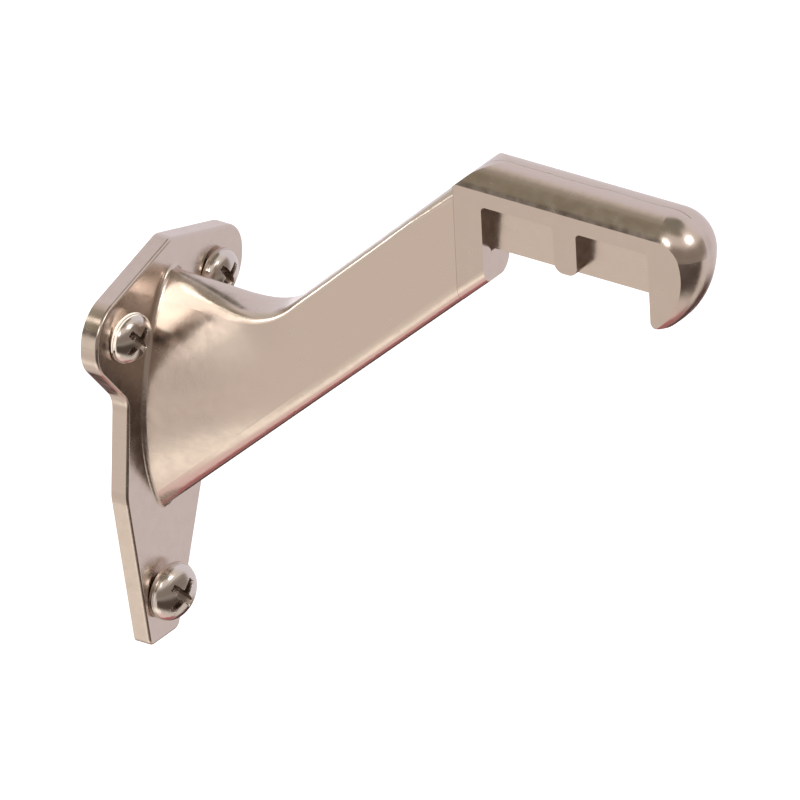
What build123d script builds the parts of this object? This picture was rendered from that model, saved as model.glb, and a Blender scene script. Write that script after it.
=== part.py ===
from build123d import *
from math import asin, cos, radians, sin, sqrt, tan
import os

# Handrail bracket: a zinc die casting, in which a wall plate, an inclined arm and
# a hooked rail head are one piece, and three cross-recess screws in its plate.
# X points out of the wall, Y runs along the wall and Z is up. The origin lies on
# the back face of the plate, at its middle.

# Wall plate
plate_thickness = 3.0
plate_height = 69.8
gable_angle = 15.5              # fall of the two top edges from the peak
peak_radius = 3.0
lobe_half_width = 21.5
lobe_height = 8.1               # straight side of a lobe, before its corners are rounded
lobe_radius = 6.2
neck_half_width = 11.9
neck_radius = 5.0
taper_start = 28.9              # height of the bend below the neck, above the bottom edge
taper_radius = 8.0
bottom_half_width = 4.2
bottom_radius = 1.5
plate_edge_radius = 0.5

# Screw holes
upper_screw_spread = 26.4       # between the axes of the two upper screws
upper_screw_drop = 11.3         # below the peak
lower_screw_rise = 8.8          # above the bottom edge
neck_clearance = 0.4            # radial gap between a screw's neck and its hole

# Arm
arm_lower_angle = 43.4
arm_lower_foot = -14.3          # height at which the lower edge line meets the wall plane
arm_upper_angle = 44.3
arm_upper_foot = 5.2            # height at which the upper edge line meets the wall plane
root_top_drop = 4.6             # of the root's crown below the peak
root_top_angle = 7.0            # fall of the root's crown away from the wall
elbow_radius = 12.0             # concave bend from the crown into the inclined arm
# a section's shape: half its width where a side meets the lower and the upper corner, the
# heights of those corners, and the side's angles there
root_section = dict(
    low_width=3.84, low_corner=3.3, low_lean=27.0, high_width=3.63, high_corner=3.8, high_lean=-27.6)
run_section = dict(
    low_width=3.15, low_corner=2.6, low_lean=8.7, high_width=4.9, high_corner=1.1, high_lean=8.7)
step_section = dict(
    low_width=3.15, low_corner=2.6, low_lean=8.7, high_width=4.72, high_corner=2.4, high_lean=8.7)
corner_fullness = 0.72          # how far a section's corners reach to the crossing of its sides
side_handle = 0.35              # share of a side's chord that shapes its bulge
root_embed = 1.0                # depth of the arm's first section in the plate
flare_length = 27.5             # from the wall to the end of the flare, on the upper edge
flare_steps = 5                 # sections from the root to the end of the flare
swell_start = 49.0              # from here the upper edge's rounding grows towards the head
arm_overrun = 2.0               # of the arm into the rail head
root_radius = 0.8               # fillet between the root and the plate

# Rail head: the side planes cut its round crown, so that each leaves a crisp edge
seat_height = 64.8              # of the level top above the origin
step_drop = 3.93                # from the seat to the upper end of the step between arm and head
head_length = 43.35
side_edge_drop = 3.4            # from the seat to the upper edge of a side plane
side_edge_width = 5.44          # from the middle to the upper edge of a side plane
head_draft = 6.3                # the side planes close in towards the bottom
crown_radius = 4.9
crown_flat = 0.75               # half the width of the level top
bend_radius = 7.0
nose_radius = 6.5
end_radius = 16.4               # of the end's curve, seen from the side
end_bulge_drop = 6.9            # from the seat to the outermost point of the end
leg_wall = 5.05                 # from the step to the inner face of the leg
lip_wall = 8.2
lip_drop = 19.5                 # from the seat to the bottom of the lip
lip_corner_radius = 1.2
toe_edge_radius = 0.5
top_wall = 6.2                  # from the seat to the ceiling of the pockets
rib_drop = 14.1                 # from the seat to the bottom of the rib
web_drop = 14.55                # from the seat to the bottom of the web
web_thickness = 3.4
pocket_radius = 0.8
rib_width = 4.1
first_pocket_length = 13.0
rib_corner_radius = 1.6
leg_edge_radius = 2.2
margin = 5.0                    # by which cutting shapes reach past what they cut

# Screws: head radius, height of the rim, height of the dome, thread radius, neck
# radius, cross width, cross span and cross depth
upper_screw = dict(head=4.15, rim=0.8, dome=1.8, thread=2.08, neck=1.75, slot=0.95, span=4.6, depth=1.7)
lower_screw = dict(head=4.85, rim=0.9, dome=2.3, thread=2.42, neck=2.05, slot=1.05, span=5.3, depth=2.0)
upper_screw_turns = (20.0, 62.0)
lower_screw_turn = 38.0
upper_shank_length = 3.0        # behind the plate
lower_shank_length = 3.0
tip_length = 1.2
tip_radius = 0.8

peak_z = plate_height / 2
bottom_z = -plate_height / 2
head_start = (seat_height - step_drop - arm_upper_foot) / tan(radians(arm_upper_angle))
head_end = head_start + head_length
upper_screw_z = peak_z - upper_screw_drop
lower_screw_z = bottom_z + lower_screw_rise


def lower_line(x):
    """Height of the arm's lower edge at a distance from the wall."""
    return arm_lower_foot + x * tan(radians(arm_lower_angle))


def upper_line(x):
    """Height of the arm's straight upper edge at a distance from the wall."""
    return arm_upper_foot + x * tan(radians(arm_upper_angle))


def crown_line(x):
    """Height of the upper profile: the root's crown, the elbow's arc, the straight edge."""
    fall = radians(root_top_angle)
    rise = radians(arm_upper_angle)
    crown_foot = peak_z - root_top_drop
    corner_x = (crown_foot - arm_upper_foot) / (tan(rise) + tan(fall))
    tangent = elbow_radius * tan((rise + fall) / 2)
    start_x = corner_x - tangent * cos(fall)
    end_x = corner_x + tangent * cos(rise)
    if x < start_x:
        return crown_foot - x * tan(fall)
    if x > end_x:
        return upper_line(x)
    centre_x = start_x + elbow_radius * sin(fall)
    centre_z = crown_foot - start_x * tan(fall) + elbow_radius * cos(fall)
    return centre_z - sqrt(elbow_radius ** 2 - (x - centre_x) ** 2)


def towards(point, corner):
    """The handle of a rounded corner: a point on the way from its end to the crossing of its sides."""
    return point + (corner - point) * corner_fullness


def section(lower_x, upper_x, shape):
    """A closed section across the arm between a point of its lower and of its upper edge.

    Each half is three cubic curves: a lower corner, a side and an upper corner. The widths
    are those where a side meets its corners, and the leans are the side's angles there.
    """
    low = Vector(lower_x, 0, lower_line(lower_x))
    high = Vector(upper_x, 0, crown_line(upper_x))
    half_depth = (high - low).length / 2
    up = (high - low).normalized()
    plane = Plane(origin=(low + high) / 2, x_dir=(0, 1, 0), z_dir=(up.Z, 0, -up.X))
    start = Vector(shape["low_width"], -half_depth + shape["low_corner"])
    end = Vector(shape["high_width"], half_depth - shape["high_corner"])
    start_dir = Vector(sin(radians(shape["low_lean"])), cos(radians(shape["low_lean"])))
    end_dir = Vector(sin(radians(shape["high_lean"])), cos(radians(shape["high_lean"])))
    low_cross = start - start_dir * (shape["low_corner"] / start_dir.Y)
    high_cross = end + end_dir * (shape["high_corner"] / end_dir.Y)
    handle = (end - start).length * side_handle
    bottom = Vector(0, -half_depth)
    top = Vector(0, half_depth)
    half = [
        (bottom, towards(bottom, low_cross), towards(start, low_cross), start),
        (start, start + start_dir * handle, end - end_dir * handle, end),
        (end, towards(end, high_cross), towards(top, high_cross), top)]
    mirrored = [[Vector(-p.X, p.Y) for p in reversed(curve)] for curve in reversed(half)]
    return plane * Wire([Bezier(*curve) for curve in half + mirrored])


def arm():
    """The arm, lofted from its oval root through the flare to the rounded box of the run."""
    start = plate_thickness - root_embed
    half_angle = radians((arm_lower_angle + arm_upper_angle) / 2)
    depth = (upper_line(flare_length) - lower_line(flare_length)) * cos(half_angle)
    slant = depth * sin(half_angle)
    flare = []
    for step in range(flare_steps + 1):
        share = step / flare_steps
        # an even S-curve, level at the root and at the end of the flare
        blend = share ** 2 * (3 - 2 * share)
        shape = {key: size + (run_section[key] - size) * blend for key, size in root_section.items()}
        lower_x = start + (flare_length + slant - start) * share
        upper_x = start + (flare_length - start) * share
        flare.append(section(lower_x, upper_x, shape))
    end = head_start + arm_overrun
    swell = section(swell_start + slant, swell_start, run_section)
    run = [flare[-1], swell, section(end + slant, end, step_section)]
    whole = Solid.make_loft(flare) + Solid.make_loft(run, ruled=True)
    return split(whole, Plane.YZ.offset(end), keep=Keep.BOTTOM)


def plate():
    """The wall plate: a gabled shield with two round lobes, a neck and a tapered tail."""
    shoulder_z = peak_z - lobe_half_width * tan(radians(gable_angle))
    lobe_z = shoulder_z - lobe_height
    neck_z = lobe_z - (lobe_half_width - neck_half_width)
    right = [
        (lobe_half_width, shoulder_z), (lobe_half_width, lobe_z), (neck_half_width, neck_z),
        (neck_half_width, bottom_z + taper_start), (bottom_half_width, bottom_z)]
    left = [(-y, z) for y, z in reversed(right)]
    radii = [lobe_radius, lobe_radius, neck_radius, taper_radius, bottom_radius]
    radii = [peak_radius] + radii + radii[::-1]
    outline = FilletPolyline((0, peak_z), *right, *left, radius=radii, close=True)
    blank = extrude(Plane.YZ * make_face(outline), plate_thickness)
    rim = blank.faces().sort_by(Axis.X)[-1].outer_wire().edges()
    return fillet(rim, plate_edge_radius)


def rooted_arm():
    """The plate and the arm in one, with a small fillet round the root."""
    body = plate() + arm()
    front = [face for face in body.faces() if face.inner_wires()][0]
    return fillet(front.inner_wires()[0].edges(), root_radius)


def across(outline, half_width):
    """A prism from an outline in the plane Y = 0, reaching equally far to both sides."""
    return extrude(Plane.XZ * make_face(outline), half_width, both=True)


def end_x(z):
    """Distance from the wall of the head's curved end at a height."""
    return head_end - end_radius + sqrt(end_radius ** 2 - (z - seat_height + end_bulge_drop) ** 2)


def crowned_block(deep, lip_z):
    """The block of the head: its round crown runs along the top, round the nose and down the end."""
    back = head_start - margin
    end_top = Vector(end_x(seat_height), seat_height)
    end_foot = Vector(end_x(lip_z), lip_z)
    centre = Vector(head_end - end_radius, seat_height - end_bulge_drop)
    run_out = (end_foot - centre).rotate(Axis.Z, -90).normalized()
    lowest = end_foot + run_out * ((deep - lip_z) / run_out.Y)
    curve = ThreePointArc(end_foot, (head_end, centre.Y), end_top)
    side_view = make_face(curve + Polyline(end_top, (back, seat_height), (back, deep), lowest, end_foot))
    nose = side_view.vertices().sort_by(lambda v: (v.center() - end_top).length)[0]
    side_view = fillet(nose, nose_radius)
    half_width = crown_flat + crown_radius
    block = extrude(Plane.XZ * side_view, half_width, both=True)
    rim = [edge for edge in block.edges() if abs(edge.center().Y) > half_width / 2
           and edge.center().X > back and edge.center().Z > deep]
    return fillet(rim, crown_radius)


def head():
    """The rail head: the crowned block between drafted side planes, hooked and pocketed below."""
    deep = lower_line(head_start)
    leg_x = head_start + leg_wall
    lip_x = head_end - lip_wall
    lip_z = seat_height - lip_drop
    block = crowned_block(deep, lip_z)

    # the side planes lean in towards the bottom
    high = seat_height + margin
    low = deep - margin
    side_edge = seat_height - side_edge_drop
    high_width = side_edge_width + (high - side_edge) * tan(radians(head_draft))
    low_width = side_edge_width - (side_edge - low) * tan(radians(head_draft))
    drafted = Polyline(
        (-low_width, low), (low_width, low), (high_width, high), (-high_width, high), close=True)
    block = block & extrude(Plane.YZ * make_face(drafted), head_end + margin)

    # the arm's upper edge runs on up to the level top
    bend_x = (seat_height - arm_upper_foot) / tan(radians(arm_upper_angle))
    sloped = FilletPolyline(
        (head_start, low), (head_end + margin, low), (head_end + margin, seat_height), (bend_x, seat_height),
        (head_start, upper_line(head_start)), radius=[0, 0, 0, bend_radius, 0], close=True)
    block = block & across(sloped, high_width)

    # the hooked underside: the leg follows the arm, and the lip ends in a rounded corner and a soft toe
    web_z = seat_height - web_drop
    back = head_start - margin
    below = FilletPolyline(
        (back, lower_line(back)), (leg_x, lower_line(leg_x)), (leg_x, web_z), (lip_x, web_z), (lip_x, lip_z),
        (head_end + margin, lip_z), (head_end + margin, low), (back, low),
        radius=[0, 0, pocket_radius, pocket_radius, lip_corner_radius, 0, 0, 0], close=True)
    block -= across(below, high_width)
    leg_edges = [edge for edge in block.edges() if abs(edge.center().Y) > web_thickness / 2
                 and edge.center().X < leg_x and edge.center().Z < lower_line(leg_x) - leg_edge_radius / 2]
    block = fillet(leg_edges, leg_edge_radius)
    toe_edge = block.edges().filter_by(Axis.Y).sort_by_distance((end_x(lip_z), 0, lip_z))[0]
    block = fillet(toe_edge, toe_edge_radius)

    # two pockets beside the rib on each side of the web, open downwards
    ceiling = seat_height - top_wall
    rib_z = seat_height - rib_drop
    first_end = leg_x + first_pocket_length
    second_start = first_end + rib_width
    pockets = FilletPolyline(
        (leg_x, low), (leg_x, ceiling), (first_end, ceiling), (first_end, rib_z), (second_start, rib_z),
        (second_start, ceiling), (lip_x, ceiling), (lip_x, low),
        radius=[0, pocket_radius, pocket_radius, rib_corner_radius, rib_corner_radius, pocket_radius,
                pocket_radius, 0], close=True)
    cutter = Pos(0, -web_thickness / 2, 0) * extrude(Plane.XZ * make_face(pockets), high_width)
    return block - cutter - mirror(cutter, Plane.XZ)


def screw(size, shank_length):
    """A domed screw along +X: neck in the plate, thread behind it, cross recess in its head."""
    head_top = plate_thickness + size["rim"] + size["dome"]
    dome_radius = (size["head"] ** 2 + size["dome"] ** 2) / (2 * size["dome"])
    rim_x = plate_thickness + size["rim"]
    half = asin(size["head"] / dome_radius) / 2
    profile = make_face(
        Polyline((head_top, 0), (-shank_length, 0), (-shank_length, tip_radius),
                 (tip_length - shank_length, size["thread"]), (0, size["thread"]), (0, size["neck"]),
                 (plate_thickness, size["neck"]), (plate_thickness, size["head"]), (rim_x, size["head"]))
        + ThreePointArc((rim_x, size["head"]),
                        (head_top - dome_radius * (1 - cos(half)), dome_radius * sin(half)), (head_top, 0)))
    body = revolve(profile, Axis.X)
    # the two bars of the cross are centred on the head's top, so half of their height cuts
    height = size["depth"] * 2
    recess = Box(height, size["slot"], size["span"]) + Box(height, size["span"], size["slot"])
    return body - Pos(head_top, 0, 0) * recess


def placed(body, y, z, turn):
    """A screw turned about its axis and moved to its hole."""
    return Pos(0, y, z) * Rot(turn, 0, 0) * body


if __name__ == "__main__":
    os.makedirs("parts", exist_ok=True)
    body = rooted_arm() + head()
    upper_y = upper_screw_spread / 2
    upper = [placed(screw(upper_screw, upper_shank_length), side * upper_y, upper_screw_z, turn)
             for side, turn in zip((-1, 1), upper_screw_turns)]
    lower = placed(screw(lower_screw, lower_shank_length), 0, lower_screw_z, lower_screw_turn)
    for y, z, size in ((-upper_y, upper_screw_z, upper_screw), (upper_y, upper_screw_z, upper_screw),
                       (0, lower_screw_z, lower_screw)):
        hole = Cylinder(size["neck"] + neck_clearance, plate_thickness + margin, rotation=(0, 90, 0))
        body -= Pos(plate_thickness / 2, y, z) * hole
    export_step(body, "parts/bracket_casting.step")
    export_step(Compound(upper), "parts/upper_wall_screws.step")
    export_step(lower, "parts/lower_wall_screw.step")
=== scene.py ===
from math import cos, pi, radians, sin, tan

import bpy
import numpy as np
from mathutils import Matrix, Vector


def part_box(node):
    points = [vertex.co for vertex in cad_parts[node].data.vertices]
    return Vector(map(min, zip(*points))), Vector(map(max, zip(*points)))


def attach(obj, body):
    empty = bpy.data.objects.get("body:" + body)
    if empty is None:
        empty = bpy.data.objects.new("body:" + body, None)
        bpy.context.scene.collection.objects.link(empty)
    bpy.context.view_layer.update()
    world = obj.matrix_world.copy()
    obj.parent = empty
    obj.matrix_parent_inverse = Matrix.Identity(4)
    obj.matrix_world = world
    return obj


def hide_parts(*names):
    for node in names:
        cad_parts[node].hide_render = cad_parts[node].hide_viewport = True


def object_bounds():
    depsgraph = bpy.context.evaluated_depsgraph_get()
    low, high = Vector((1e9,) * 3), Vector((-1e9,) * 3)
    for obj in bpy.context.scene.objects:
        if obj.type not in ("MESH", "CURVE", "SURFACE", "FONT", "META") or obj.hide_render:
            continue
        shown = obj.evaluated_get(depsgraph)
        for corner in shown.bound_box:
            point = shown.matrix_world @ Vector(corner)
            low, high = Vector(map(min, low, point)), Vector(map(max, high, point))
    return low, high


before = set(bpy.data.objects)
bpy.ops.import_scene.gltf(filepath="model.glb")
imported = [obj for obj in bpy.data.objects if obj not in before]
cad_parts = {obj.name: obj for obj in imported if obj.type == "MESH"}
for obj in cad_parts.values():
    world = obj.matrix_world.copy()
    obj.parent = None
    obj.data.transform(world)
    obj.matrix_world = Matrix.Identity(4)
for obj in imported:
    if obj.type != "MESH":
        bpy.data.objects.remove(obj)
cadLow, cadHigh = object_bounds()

mm = 0.001


def linear(hexColour):
    # sRGB hex to linear RGBA, by the standard curve
    parts = [int(hexColour[i:i + 2], 16) / 255 for i in (1, 3, 5)]
    return [c / 12.92 if c <= 0.04045 else ((c + 0.055) / 1.055) ** 2.4 for c in parts] + [1.0]


def addNode(tree, kind, inputs=None, **settings):
    # one node with its settings; an input is a value, or the socket that feeds it
    node = tree.nodes.new(kind)
    for name, value in settings.items():
        setattr(node, name, value)
    for name, value in (inputs or {}).items():
        if isinstance(value, bpy.types.NodeSocket):
            tree.links.new(value, node.inputs[name])
        else:
            node.inputs[name].default_value = value
    return node


# the camera stands where the photograph's did, far off with a long lens: angles in degrees, the target and
# the picture's shift on the target's plane in metres, the frame's width in pixels
camera = dict(azimuth=31.19, elevation=26.71, roll=1.059, distance=5.0, pixelsPerMm=6.45, frame=800,
              target=(45 * mm, 0.0, 29.9 * mm), shift=(-0.0905 * mm, 10.314 * mm), sensor=36, clip=(0.1, 100))


def placeCamera(c):
    az, el, roll = radians(c["azimuth"]), radians(c["elevation"]), radians(c["roll"])
    right = Vector((cos(az), sin(az), 0))
    back = Vector((sin(az) * cos(el), -cos(az) * cos(el), sin(el)))
    up = back.cross(right)
    data = bpy.data.cameras.new("camera")
    data.sensor_fit = "HORIZONTAL"
    data.sensor_width = c["sensor"]
    data.lens = c["sensor"] * c["distance"] * c["pixelsPerMm"] / (mm * c["frame"])
    data.clip_start, data.clip_end = c["clip"]
    # the picture's middle is moved on the target's plane, then the picture is turned about its middle
    eye = Vector(c["target"]) - right * c["shift"][0] - up * c["shift"][1] + back * c["distance"]
    turnedRight = right * cos(roll) + up * sin(roll)
    turnedUp = up * cos(roll) - right * sin(roll)
    obj = bpy.data.objects.new("camera", data)
    axes = Matrix((turnedRight, turnedUp, back)).transposed().to_4x4()
    obj.matrix_world = Matrix.Translation(eye) @ axes
    bpy.context.scene.collection.objects.link(obj)
    bpy.context.scene.camera = obj


placeCamera(camera)
print("camera placed")

# satin nickel plate on a zinc die casting: a warm pinkish metal, matt from the satin bath, so highlights
# are broad and soft and the skin shows a faint cloudy mottle; the real grain is finer than a tenth of a
# millimetre, so it is drawn coarser to show
casting = dict(colour="#D2C3B8", roughness=0.23, roughnessSpread=0.05, mottleSize=1.9 * mm,
               mottleHeight=0.018 * mm, grainSize=0.45 * mm, grainHeight=0.0045 * mm,
               seamHeight=0.05 * mm, seamWidth=0.14 * mm, seamWaver=1.2 * mm, waverSize=6 * mm,
               waverDetail=2.0, topDepth=1 * mm, topFade=0.5 * mm,
               # painted shade: the step's colour draws a thin dark line where the head's side steps out from
               # the arm
               stepAt=57.0 * mm, stepWidth=0.17 * mm, paintedLineColour="#8A7B71")
# bright nickel plate on rolled steel screws: the same warm metal, but almost a mirror, so it shows small
# sharp highlights; its grain too is drawn coarser than the real one
fastener = dict(colour="#D8CEC6", roughness=0.17, roughnessSpread=0.03, mottleSize=1.4 * mm,
                mottleHeight=0.006 * mm, grainSize=0.3 * mm, grainHeight=0.001 * mm)
# the same plate in the punched cross, where it is thin and dull, and darker in colour as painted shade, so
# the cross reads dark with few glints
recess = dict(colour="#A89A90", roughness=0.27, roughnessSpread=0.1, mottleSize=0.5 * mm,
              mottleHeight=0.02 * mm, grainSize=0.2 * mm, grainHeight=0.002 * mm)
# what the plated skins share: the octaves of the two noises, and the span of the mottle that turns the polish
skin = dict(mottleDetail=3.0, grainDetail=1.0, mottleLow=0.3, mottleHigh=0.7)


def nickelPlate(name, finish, seam=None, shade=None):
    # height of the skin in metres: cloudy mottle, fine grain and, on the casting, the mould's parting line;
    # the mottle also turns the roughness up and down by its spread
    material = bpy.data.materials.new(name)
    material.use_nodes = True
    tree = material.node_tree
    shader = tree.nodes["Principled BSDF"]
    shader.inputs["Metallic"].default_value = 1.0
    shader.inputs["Base Color"].default_value = linear(finish["colour"])
    place = addNode(tree, "ShaderNodeTexCoord").outputs["Object"]
    mottle = addNode(tree, "ShaderNodeTexNoise", {
        "Vector": place, "Scale": 1 / finish["mottleSize"], "Detail": skin["mottleDetail"]}).outputs["Fac"]
    grain = addNode(tree, "ShaderNodeTexNoise", {
        "Vector": place, "Scale": 1 / finish["grainSize"], "Detail": skin["grainDetail"]}).outputs["Fac"]
    slow = addNode(tree, "ShaderNodeMath", {0: mottle, 1: finish["mottleHeight"]}, operation="MULTIPLY")
    height = addNode(tree, "ShaderNodeMath", {0: grain, 1: finish["grainHeight"], 2: slow.outputs[0]},
                     operation="MULTIPLY_ADD").outputs[0]
    if seam:
        height = seam(tree, place, height, finish)
    # a painted shade, where one is given, takes the place of the plain base colour
    if shade:
        tree.links.new(shade(tree, place, finish), shader.inputs["Base Color"])
    # the height is in metres already, so the bump takes it at its full strength
    bump = addNode(tree, "ShaderNodeBump", {"Height": height, "Strength": 1.0, "Distance": 1.0})
    tree.links.new(bump.outputs["Normal"], shader.inputs["Normal"])
    rough = addNode(tree, "ShaderNodeMapRange", {
        "Value": mottle, "From Min": skin["mottleLow"], "From Max": skin["mottleHigh"],
        "To Min": finish["roughness"] - finish["roughnessSpread"],
        "To Max": finish["roughness"] + finish["roughnessSpread"]})
    tree.links.new(rough.outputs["Result"], shader.inputs["Roughness"])
    return material


def partingSeam(tree, place, height, finish):
    # a thin wavering ridge along the plane Y = 0, where the mould's halves met, on the head's level top:
    # its height falls off smoothly with the distance from the plane, which a slow noise moves to both sides
    xyz = addNode(tree, "ShaderNodeSeparateXYZ", {"Vector": place})
    waver = addNode(tree, "ShaderNodeTexNoise", {
        "Vector": place, "Scale": 1 / finish["waverSize"], "Detail": finish["waverDetail"]})
    shift = addNode(tree, "ShaderNodeMath", {
        0: waver.outputs["Fac"], 1: finish["seamWaver"], 2: xyz.outputs["Y"]}, operation="MULTIPLY_ADD")
    off = addNode(tree, "ShaderNodeMath", {0: shift.outputs[0], 1: finish["seamWaver"] / 2},
                  operation="SUBTRACT")
    away = addNode(tree, "ShaderNodeMath", {0: off.outputs[0]}, operation="ABSOLUTE")
    ridge = addNode(tree, "ShaderNodeMapRange", {
        "Value": away.outputs[0], "From Min": finish["seamWidth"], "From Max": 0.0,
        "To Min": 0.0, "To Max": finish["seamHeight"]}, interpolation_type="SMOOTHSTEP")
    onTop = addNode(tree, "ShaderNodeMapRange", {
        "Value": xyz.outputs["Z"], "From Min": cadHigh.z - finish["topDepth"],
        "From Max": cadHigh.z - finish["topFade"]}, interpolation_type="SMOOTHSTEP")
    kept = addNode(tree, "ShaderNodeMath", {0: ridge.outputs[0], 1: onTop.outputs[0], 2: height},
                   operation="MULTIPLY_ADD")
    return kept.outputs[0]


def paintedStepShade(tree, place, finish):
    # painted shade: a fine darker line where the head's side steps out from the arm, in place of the shade at
    # that small step; inputs 6 and 7 of the mix are its two colours
    xyz = addNode(tree, "ShaderNodeSeparateXYZ", {"Vector": place})
    off = addNode(tree, "ShaderNodeMath", {0: xyz.outputs["X"], 1: finish["stepAt"]}, operation="SUBTRACT")
    away = addNode(tree, "ShaderNodeMath", {0: off.outputs[0]}, operation="ABSOLUTE")
    line = addNode(tree, "ShaderNodeMapRange", {
        "Value": away.outputs[0], "From Min": finish["stepWidth"], "From Max": 0.0},
        interpolation_type="SMOOTHSTEP")
    shade = addNode(tree, "ShaderNodeMix", {
        "Factor": line.outputs[0], 6: linear(finish["colour"]), 7: linear(finish["paintedLineColour"])},
        data_type="RGBA")
    return shade.outputs[2]


castingMaterial = nickelPlate("satinNickelOnZinc", casting, partingSeam, paintedStepShade)
screwMaterial = nickelPlate("brightNickelOnSteel", fastener)
recessDullAndShadeMaterial = nickelPlate("dullNickelWithPaintedShadeInRecess", recess)
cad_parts["bracket_casting"].data.materials.clear()
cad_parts["bracket_casting"].data.materials.append(castingMaterial)
print("casting finished")

# the wall screws, in mm along the axis from under the head: a shank with a rolled thread, a thin flange and
# a dome with a punched cross; they take the place of the CAD's plainer screws and keep their size and
# reach; for each screw, its side of the bracket, and in degrees the turn of its cross and the lean of its
# head towards -Y
upperScrews = dict(shankRadius=1.75, tipRadius=0.8, tipLength=1.1, headRadius=4.15, flange=0.6,
                   domeRadius=4.03, headHeight=2.55, threadHeight=0.33, threadLength=2.0, pitch=0.95,
                   wing=2.55, wingWidth=0.42, depth=1.8,
                   places=[dict(side=-1, turn=40, lean=13.0), dict(side=1, turn=35, lean=6.0)])
lowerScrew = dict(shankRadius=2.05, tipRadius=0.8, tipLength=1.1, headRadius=4.85, flange=0.85,
                  domeRadius=4.7, headHeight=3.2, threadHeight=0.37, threadLength=2.0, pitch=1.05,
                  wing=2.95, wingWidth=0.5, depth=2.1, places=[dict(side=0, turn=45, lean=12.0)])
# what the screws share: the plate's front and the tip's distance from the CAD shank's end in mm, how finely
# the profile is drawn, how the thread starts, fades and peaks, how the cross's bars fall, widen and end in
# their walls, the share of the depth from which the plate is dull and darkened with painted shade, and the
# angle of a sharp edge
rolled = dict(plateFront=3.0, tipGap=0.25, domePoints=12, cornerCut=0.12, cutRounds=3, rings=200, around=160,
              threadStart=0.5, threadFade=0.25, threadPeak=1.5, barFall=0.85, barCurve=0.6, barWidth=1.05,
              barWiden=0.35, barWall=0.16, dullAndShadedFrom=0.12, sharpAngle=40)


def screwProfile(s, tip):
    # distance along the axis and radius: a tapered tip, the shank, the flange, then an ellipse for the dome;
    # each corner is cut at a share of its two sides, a few times, so that it turns round
    rise = np.linspace(0, pi / 2, rolled["domePoints"])
    dome = np.stack([s["flange"] + (s["headHeight"] - s["flange"]) * np.sin(rise),
                     s["domeRadius"] * np.cos(rise)], 1)
    line = np.vstack([[(tip, 0), (tip, s["tipRadius"]), (tip + s["tipLength"], s["shankRadius"]),
                       (0, s["shankRadius"]), (0, s["headRadius"]), (s["flange"], s["headRadius"])], dome])
    cut = rolled["cornerCut"]
    for _ in range(rolled["cutRounds"]):
        near = line[:-1] * (1 - cut) + line[1:] * cut
        far = line[:-1] * cut + line[1:] * (1 - cut)
        line = np.vstack([line[:1], np.stack([near, far], 1).reshape(-1, 2), line[-1:]])
    run = np.concatenate([[0], np.cumsum(np.hypot(*np.diff(line, axis=0).T))])
    even = np.linspace(0, run[-1], rolled["rings"])
    return np.stack([np.interp(even, run, line[:, 0]), np.interp(even, run, line[:, 1])], 1)


def screwSurface(s, tip):
    # the profile turned about the axis, between its two poles; the thread adds to the radius a ridge that
    # climbs one pitch with each turn, and the cross lowers the head by a depth that is greatest on the
    # axis, falls off along each of its two bars and ends in a steep wall at each bar's side
    line = screwProfile(s, tip)
    along, radius = line[1:-1, 0][:, None], line[1:-1, 1][:, None]
    turn = np.linspace(0, 2 * pi, rolled["around"], endpoint=False)[None, :]
    start = tip + s["tipLength"] * rolled["threadStart"]
    end = start + s["threadLength"]
    share = np.clip(np.minimum(along - start, end - along) / rolled["threadFade"], 0, 1)
    climb = (along / s["pitch"] - turn / (2 * pi)) % 1
    ridge = (1 - np.abs(2 * climb - 1)) ** rolled["threadPeak"]
    grown = radius + s["threadHeight"] * share * ridge
    u, v = grown * np.cos(turn), grown * np.sin(turn)
    sunk = np.zeros_like(u)
    for a, b in ((u, v), (v, u)):
        inward = np.clip(1 - np.abs(a) / s["wing"], 0, 1)  # 0 at the bar's end, 1 on the axis
        fall = np.clip(inward / rolled["barFall"], 0, 1) ** rolled["barCurve"]
        width = s["wingWidth"] * (rolled["barWidth"] + rolled["barWiden"] * inward)
        wall = np.clip((width - np.abs(b)) / rolled["barWall"] + 0.5, 0, 1)
        sunk = np.maximum(sunk, s["depth"] * fall * wall)
    sunk = sunk * (along > s["flange"])
    return np.stack([along - sunk, u, v], 2), sunk


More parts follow.
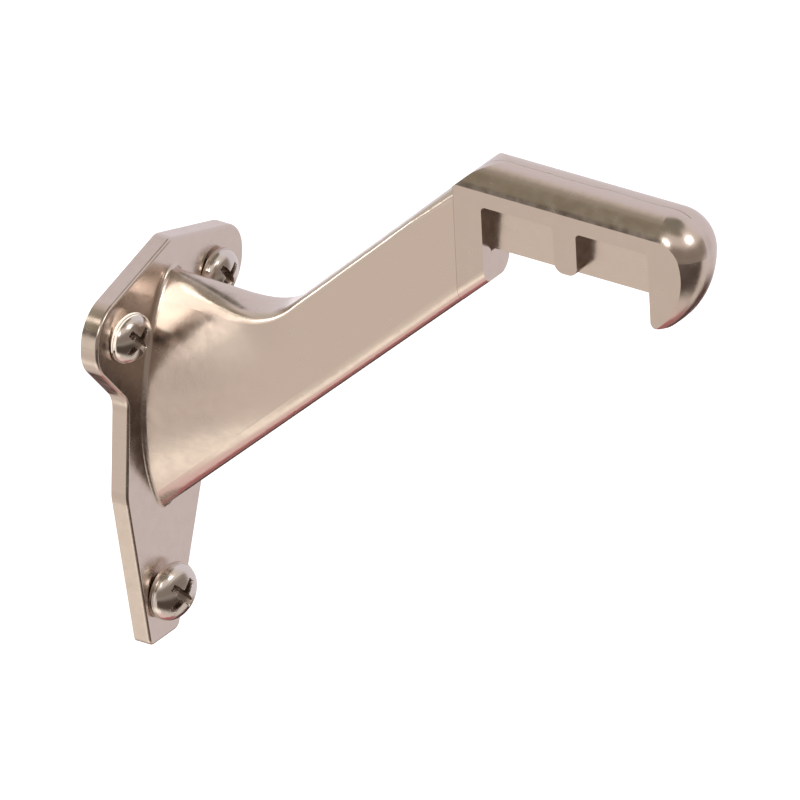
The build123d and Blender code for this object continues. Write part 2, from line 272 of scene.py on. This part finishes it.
def buildScrews(name, s, node):
    # each grid is closed by one point at each pole, turned by the cross's angle, leaned about the middle
    # of the hole and lifted along its axis until the flange's low side rests on the plate
    low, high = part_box(node)
    aside, level = high.y - s["headRadius"] * mm, (low.z + high.z) / 2
    middle = rolled["plateFront"] / 2
    reach = middle - low.x / mm - rolled["tipGap"]
    allPoints, allFaces, dullAndShaded, start = [], [], [], 0
    for p in s["places"]:
        turn, lean = radians(p["turn"]), radians(p["lean"])
        lift = middle * (1 / cos(lean) - 1) + s["headRadius"] * tan(lean)
        tip = -reach / cos(lean) - middle - lift
        grid, sunk = screwSurface(s, tip)
        rows, around = sunk.shape
        points = np.vstack([[[tip, 0, 0]], grid.reshape(-1, 3), [[s["headHeight"] - s["depth"], 0, 0]]])
        index = 1 + np.arange(rows * around).reshape(rows, around)
        ahead = np.roll(index, -1, 1)
        quads = np.stack([index[:-1], ahead[:-1], ahead[1:], index[1:]], -1).reshape(-1, 4)
        lowFan = np.stack([np.zeros(around, int), ahead[0], index[0]], -1)
        highFan = np.stack([np.full(around, len(points) - 1), index[-1], ahead[-1]], -1)
        flat = np.concatenate([[0], sunk.ravel(), [s["depth"]]])
        along = points[:, 0] + middle + lift
        y = points[:, 1] * cos(turn) - points[:, 2] * sin(turn)
        z = points[:, 1] * sin(turn) + points[:, 2] * cos(turn)
        x = along * cos(lean) + y * sin(lean) + middle
        y = y * cos(lean) - along * sin(lean)
        allPoints.append(np.stack([x, y, z], 1) * mm + [0, p["side"] * aside, level])
        for part in (quads, lowFan, highFan):
            # faces sunk past that share of the depth take the dull plate darkened with painted shade
            dullAndShaded.append(flat[part].mean(1) > s["depth"] * rolled["dullAndShadedFrom"])
            allFaces += (part + start).tolist()
        start += len(points)
    mesh = bpy.data.meshes.new(name)
    mesh.from_pydata(np.vstack(allPoints).tolist(), [], allFaces)
    mesh.materials.append(screwMaterial)
    mesh.materials.append(recessDullAndShadeMaterial)
    mesh.polygons.foreach_set("material_index", np.concatenate(dullAndShaded).astype(np.int32))
    mesh.validate()
    mesh.shade_smooth()
    mesh.set_sharp_from_angle(angle=radians(rolled["sharpAngle"]))
    piece = bpy.data.objects.new(name, mesh)
    bpy.context.scene.collection.objects.link(piece)
    return piece


upperPiece = buildScrews("upper_screws", upperScrews, "upper_wall_screws")
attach(upperPiece, "root")
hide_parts("upper_wall_screws")
lowerPiece = buildScrews("lower_screw", lowerScrew, "lower_wall_screw")
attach(lowerPiece, "root")
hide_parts("lower_wall_screw")
print("screws made")

# plain pale floor well below the bracket, which a wall would hold
paleFloor = dict(half=3.0, drop=60 * mm, colour="#FFFFFF", roughness=0.9)


def buildFloor(f):
    # one square, hidden from the metal, which mirrors the studio below
    half, low = f["half"], cadLow.z - f["drop"]
    mesh = bpy.data.meshes.new("floor")
    mesh.from_pydata([(-half, -half, low), (half, -half, low), (half, half, low), (-half, half, low)], [],
                     [(0, 1, 2, 3)])
    material = bpy.data.materials.new("paleFloor")
    material.use_nodes = True
    shader = material.node_tree.nodes["Principled BSDF"]
    shader.inputs["Base Color"].default_value = linear(f["colour"])
    shader.inputs["Roughness"].default_value = f["roughness"]
    mesh.materials.append(material)
    floor = bpy.data.objects.new("floor", mesh)
    floor.visible_glossy = False
    bpy.context.scene.collection.objects.link(floor)
    return floor


floor = buildFloor(paleFloor)
print("floor laid")

# the studio that the metal mirrors, by compass direction and height in degrees: a beige room with
# pale lilac walls, an olive ceiling, and a brown table edge in front
studio = dict(room="#E6DED7", backdrop="#FFFFFF", backdropStrength=1.35, patches=[
    dict(azimuth=95, elevation=15, halfWidth=55, halfHeight=46, soft=10, colour="#EDE9F0", strength=1.0),
    dict(azimuth=180, elevation=8, halfWidth=36, halfHeight=34, soft=10, colour="#F9F6EA", strength=0.7),
    dict(azimuth=-116, elevation=-14, halfWidth=9, halfHeight=12, soft=5, colour="#FAF4EC", strength=1.04),
    dict(azimuth=-104, elevation=-37, halfWidth=12, halfHeight=10, soft=6, colour="#EEE5DD", strength=1.0),
    dict(azimuth=-156, elevation=53, halfWidth=24, halfHeight=10, soft=7, colour="#B0A794", strength=0.74),
    dict(azimuth=-122, elevation=36, halfWidth=20, halfHeight=26, soft=7, colour="#A8A088", strength=0.66),
    dict(azimuth=-118, elevation=11, halfWidth=11, halfHeight=6, soft=3, colour="#6A5F55", strength=0.45),
    dict(azimuth=-80, elevation=58, halfWidth=55, halfHeight=9, soft=6, colour="#A8A088", strength=0.62),
    dict(azimuth=0, elevation=90, halfWidth=360, halfHeight=26, soft=3, colour="#A8A396", strength=0.62),
    dict(azimuth=0, elevation=-90, halfWidth=360, halfHeight=16, soft=10, colour="#F6D6D4", strength=1.1),
    dict(azimuth=-100, elevation=-61, halfWidth=50, halfHeight=10, soft=8, colour="#FFFAF0", strength=1.45),
    dict(azimuth=-27, elevation=0, halfWidth=71, halfHeight=18, soft=8, colour="#B0A398", strength=0.66),
    dict(azimuth=-28, elevation=-36, halfWidth=56, halfHeight=17, soft=7, colour="#6F625B", strength=0.6),
    dict(azimuth=95, elevation=-70, halfWidth=50, halfHeight=11, soft=5, colour="#C67A7C", strength=0.85),
    dict(azimuth=108, elevation=-46, halfWidth=40, halfHeight=12, soft=5, colour="#6A4A48", strength=0.7),
])


def studioWorld(s):
    # the room's colour with each patch laid over the ones before it, seen in the metal alone
    world = bpy.data.worlds.new("studio")
    bpy.context.scene.world = world
    world.use_nodes = True
    tree = world.node_tree
    tree.nodes.clear()
    direction = addNode(tree, "ShaderNodeTexCoord").outputs["Generated"]
    xyz = addNode(tree, "ShaderNodeSeparateXYZ", {"Vector": direction})
    azimuth = addNode(tree, "ShaderNodeMath", {0: xyz.outputs["Y"], 1: xyz.outputs["X"]},
                      operation="ARCTAN2").outputs[0]
    height = addNode(tree, "ShaderNodeMath", {0: xyz.outputs["Z"]}, operation="ARCSINE").outputs[0]
    colour = None
    for p in s["patches"]:
        share = None
        for angle, centre, half in ((azimuth, p["azimuth"], p["halfWidth"]),
                                    (height, p["elevation"], p["halfHeight"])):
            # how far the direction is from the patch's middle, then a smooth edge round its half size
            off = addNode(tree, "ShaderNodeMath", {0: angle, 1: radians(centre)}, operation="SUBTRACT")
            wrap = addNode(tree, "ShaderNodeMath", {0: off.outputs[0], 1: pi, 2: -pi}, operation="WRAP")
            size = addNode(tree, "ShaderNodeMath", {0: wrap.outputs[0]}, operation="ABSOLUTE")
            edge = addNode(tree, "ShaderNodeMapRange", {
                "Value": size.outputs[0], "From Min": radians(half + p["soft"]),
                "From Max": radians(half - p["soft"])}, interpolation_type="SMOOTHSTEP")
            share = edge.outputs[0] if share is None else addNode(
                tree, "ShaderNodeMath", {0: share, 1: edge.outputs[0]}, operation="MULTIPLY").outputs[0]
        tone = [c * p["strength"] for c in linear(p["colour"])[:3]] + [1.0]
        colour = addNode(tree, "ShaderNodeMix", {
            "Factor": share, 6: colour or linear(s["room"]), 7: tone}, data_type="RGBA").outputs[2]
    seen = addNode(tree, "ShaderNodeBackground", {"Color": colour, "Strength": 1.0})
    plain = addNode(tree, "ShaderNodeBackground", {
        "Color": linear(s["backdrop"]), "Strength": s["backdropStrength"]})
    glossy = addNode(tree, "ShaderNodeLightPath").outputs["Is Glossy Ray"]
    both = addNode(tree, "ShaderNodeMixShader", {0: glossy, 1: plain.outputs[0], 2: seen.outputs[0]})
    addNode(tree, "ShaderNodeOutputWorld", {"Surface": both.outputs[0]})


studioWorld(studio)
print("studio made")

# soft boxes that only the metal mirrors, each shining one way: the point that it faces, its compass
# direction, height and distance from there, and its half sizes in degrees
rootPoint = (12 * mm, -5 * mm, 15 * mm)
headPoint = (96 * mm, -4 * mm, 60 * mm)
boxes = [
    dict(name="rootBox", seenFrom=(13.3 * mm, -15.5 * mm, 29.6 * mm), azimuth=180, elevation=0,
         distance=10 * mm, halfWidth=66, halfHeight=42, colour="#FFFAF2", strength=1.75, shape="RECTANGLE"),
    dict(name="rootLowBox", seenFrom=(13.3 * mm, -26.0 * mm, 19.5 * mm), azimuth=180, elevation=0,
         distance=10 * mm, halfWidth=32, halfHeight=30, colour="#FFFAF2", strength=0.5, shape="ELLIPSE"),
    dict(name="screwBox", seenFrom=(6 * mm, 0.0, -25 * mm), azimuth=-148, elevation=38,
         distance=120 * mm, halfWidth=11, halfHeight=11, colour="#FFFFFF", strength=4.0, shape="ELLIPSE"),
    dict(name="sideBox", seenFrom=rootPoint, azimuth=-134, elevation=43,
         distance=150 * mm, halfWidth=5, halfHeight=6, colour="#FFF8EE", strength=2.0, shape="ELLIPSE"),
    dict(name="lowBox", seenFrom=rootPoint, azimuth=124, elevation=-14,
         distance=250 * mm, halfWidth=3, halfHeight=6, colour="#FFFFFF", strength=0.5, shape="ELLIPSE"),
    dict(name="noseBox", seenFrom=headPoint, azimuth=-95, elevation=20,
         distance=250 * mm, halfWidth=9, halfHeight=9, colour="#FFFFFF", strength=4.5, shape="ELLIPSE"),
    dict(name="endBox", seenFrom=headPoint, azimuth=-8, elevation=37,
         distance=250 * mm, halfWidth=15, halfHeight=10, colour="#FFFFFF", strength=3.5, shape="ELLIPSE"),
]


def turned(c):
    # where a box or card stands, and the turn that faces it back to its point
    az, el = radians(c["azimuth"]), radians(c["elevation"])
    away = Vector((cos(az) * cos(el), sin(az) * cos(el), sin(el)))
    side = Vector((-sin(az), cos(az), 0))
    middle = Vector(c["seenFrom"]) + away * c["distance"]
    return Matrix.Translation(middle) @ Matrix((side, away.cross(side), away)).transposed().to_4x4()


def buildBox(c):
    # strength is the brightness that the metal mirrors, so the power grows with the ellipse's area
    light = bpy.data.lights.new(c["name"], "AREA")
    light.shape = c["shape"]
    light.size = 2 * c["distance"] * radians(c["halfWidth"])
    light.size_y = 2 * c["distance"] * radians(c["halfHeight"])
    light.color = linear(c["colour"])[:3]
    light.energy = c["strength"] * pi * (light.size * light.size_y * pi / 4)
    box = bpy.data.objects.new(c["name"], light)
    box.matrix_world = turned(c)
    box.visible_camera = box.visible_diffuse = box.visible_transmission = False
    bpy.context.scene.collection.objects.link(box)


for box in boxes:
    buildBox(box)
print("soft boxes hung")

# a grey backdrop card high behind the arm, which darkens the ridge over the root
ridgeCard = dict(name="ridgeCard", seenFrom=rootPoint, azimuth=118, elevation=56, distance=120 * mm,
                 halfWidth=9, halfHeight=7, colour="#7F7769", strength=0.6)


def buildCard(c):
    # one square of an even glow, which only the metal sees
    mesh = bpy.data.meshes.new(c["name"])
    x, y = c["distance"] * radians(c["halfWidth"]), c["distance"] * radians(c["halfHeight"])
    mesh.from_pydata([(-x, -y, 0), (x, -y, 0), (x, y, 0), (-x, y, 0)], [], [(0, 1, 2, 3)])
    material = bpy.data.materials.new(c["name"])
    material.use_nodes = True
    tree = material.node_tree
    tree.nodes.clear()
    glow = addNode(tree, "ShaderNodeEmission", {"Color": linear(c["colour"]), "Strength": c["strength"]})
    addNode(tree, "ShaderNodeOutputMaterial", {"Surface": glow.outputs[0]})
    mesh.materials.append(material)
    card = bpy.data.objects.new(c["name"], mesh)
    card.matrix_world = turned(c)
    card.visible_camera = card.visible_diffuse = card.visible_shadow = card.visible_transmission = False
    bpy.context.scene.collection.objects.link(card)
    return card


card = buildCard(ridgeCard)
bpy.context.scene.view_settings.view_transform = "Standard"
print("stage set")
